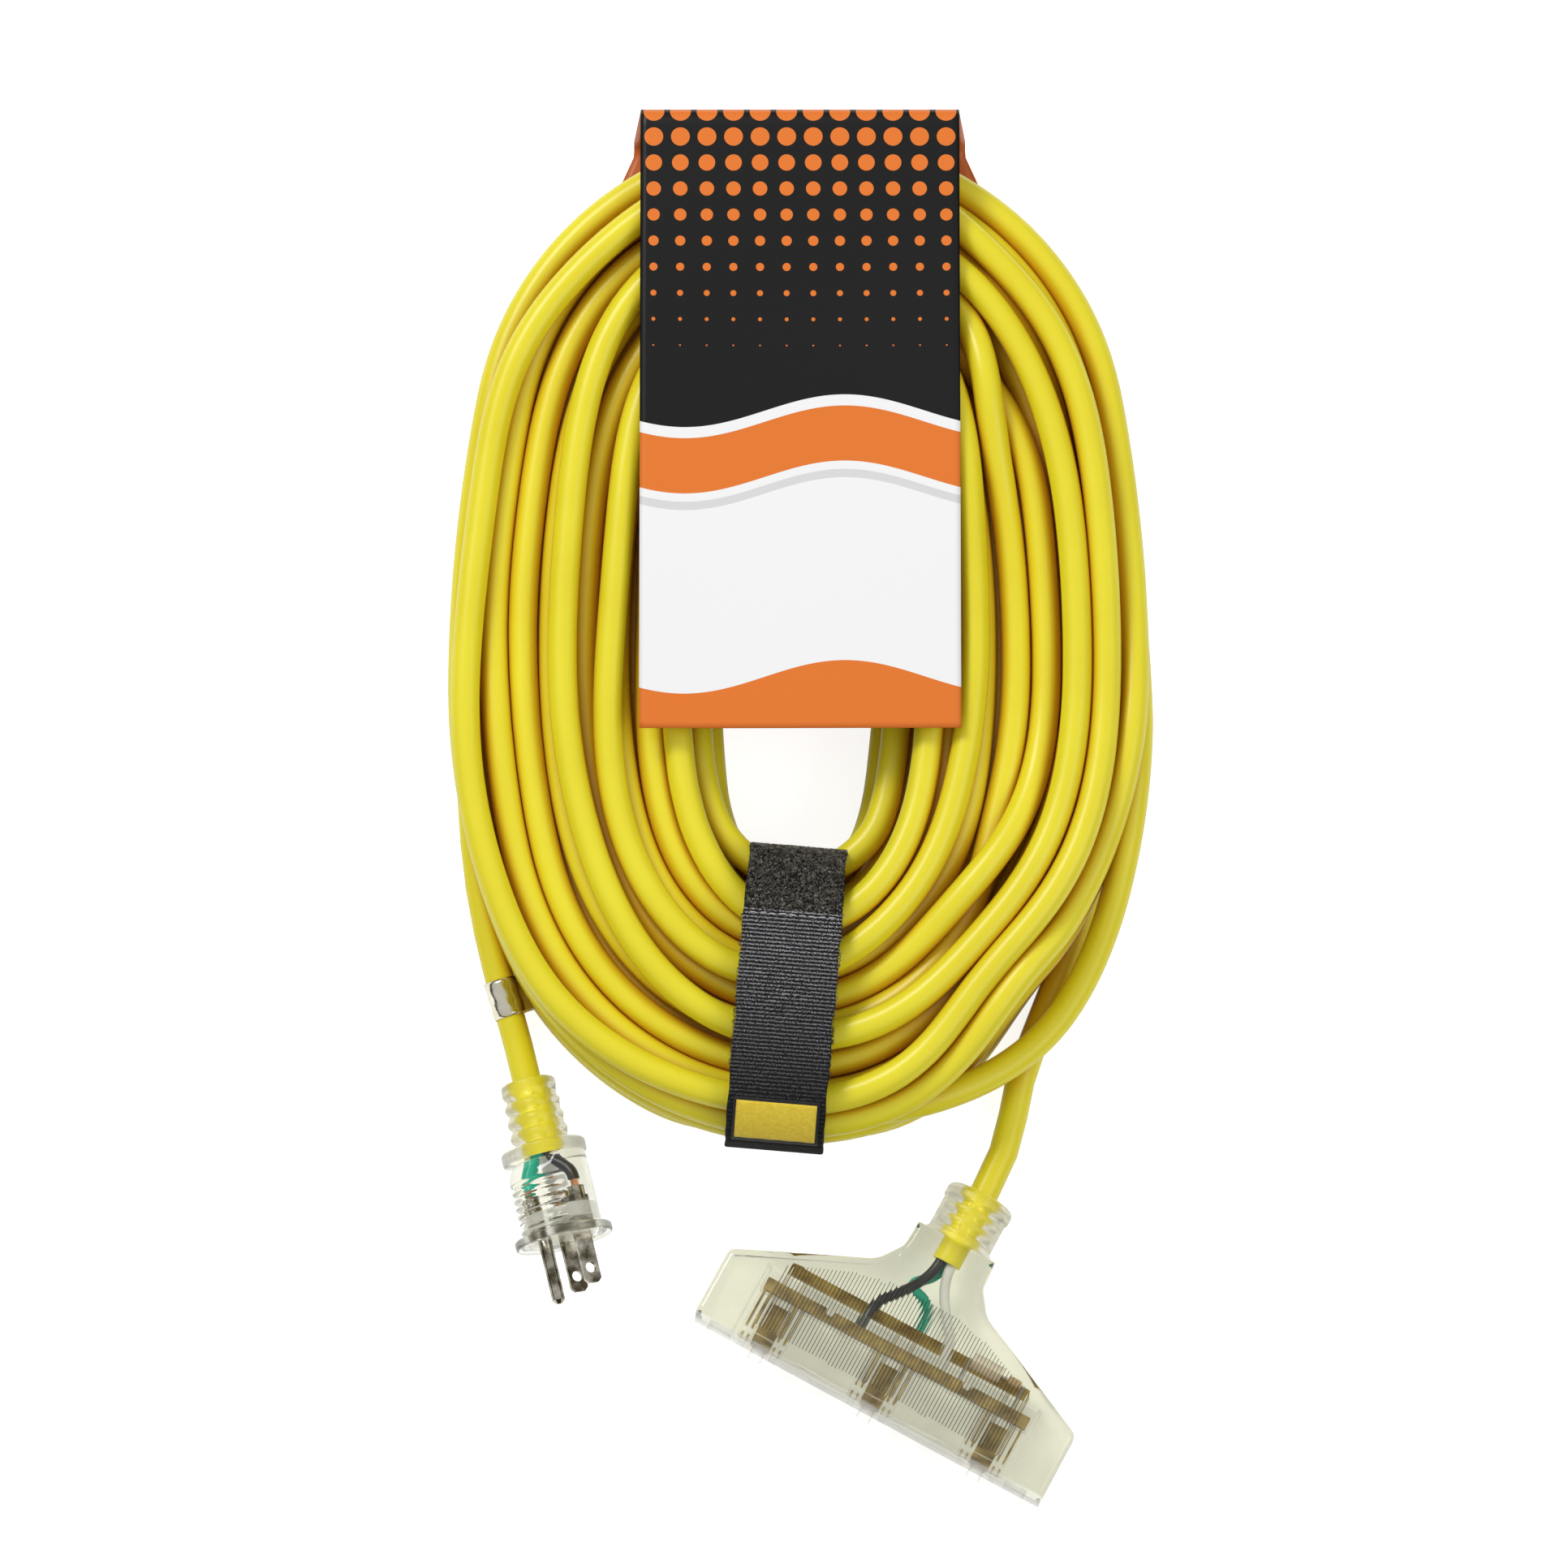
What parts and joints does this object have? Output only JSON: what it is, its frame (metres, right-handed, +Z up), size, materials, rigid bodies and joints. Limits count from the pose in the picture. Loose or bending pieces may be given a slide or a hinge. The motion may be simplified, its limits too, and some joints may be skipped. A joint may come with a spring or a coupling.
{
  "type": "extension cord",
  "caption": "Long three-conductor extension cord in an oval coil, with a moulded plug, a fan-shaped block of outlets in a row, a hook-and-loop strap and a card sleeve.",
  "frame": {"origin": "under the middle of the coil, on the underside of the sleeve's back panel", "axes": "+Z up; +Y along the coil's long way, towards the sleeve's fold; both cord ends lie towards -Y"},
  "size_m": [0.2502, 0.4968, 0.063],
  "materials": {
    "cord_jacket": "satin yellow jacket",
    "foil": "folded foil",
    "clear_moulding": "clear, slightly green",
    "bridge_plastic": "satin",
    "nickel": "nickel plated, polished",
    "black_insulation": "satin",
    "white_insulation": "satin",
    "green_insulation": "satin",
    "copper": "bare strands",
    "bus_brass": "rolled sheet",
    "pin_plastic": "satin",
    "lamp_glass": "small neon lamp",
    "resistor_body": "lacquered",
    "lead_wire": "tinned",
    "loop_band": "black loop pile",
    "hook_flap": "black woven hook tape",
    "woven_label": "yellow weave",
    "thread": "white thread",
    "printed_card": "printed, satin coated"
  },
  "bodies": {
    "root": {"blade_hot": "nickel", "blade_neutral": "nickel", "block_body": "clear_moulding", "block_jacket_end": "cord_jacket", "block_tail": "cord_jacket", "block_wire_black": "black_insulation", "block_wire_green": "green_insulation", "block_wire_white": "white_insulation", "card_sleeve": "printed_card", "coil_core": "cord_jacket", "cord_coil": "cord_jacket", "earth_bus": "bus_brass", "earth_pin": "nickel", "foil_tag": "foil", "hot_bus": "bus_brass", "indicator_lamp": "lamp_glass", "lamp_leads": "lead_wire", "lamp_resistor": "resistor_body", "locating_pins": "pin_plastic", "neutral_bus": "bus_brass", "outlet_carrier": "clear_moulding", "plug_body": "clear_moulding", "plug_bridge": "bridge_plastic", "plug_copper_ends": "copper", "plug_jacket_end": "cord_jacket", "plug_tail": "cord_jacket", "plug_wire_black": "black_insulation", "plug_wire_green": "green_insulation", "plug_wire_white": "white_insulation", "strap_band": "loop_band"},
    "flap": {"strap_flap": "hook_flap", "strap_label": "woven_label", "seam_stitches": "thread"}
  },
  "joints": [
    {"name": "flap_peel", "type": "hinge", "parent": "root", "child": "flap", "pos_m": [-0.00261, -0.10499, 0.0618], "axis": [-0.9965, 0.0832, 0], "range_deg": [0, 150]}
  ]
}
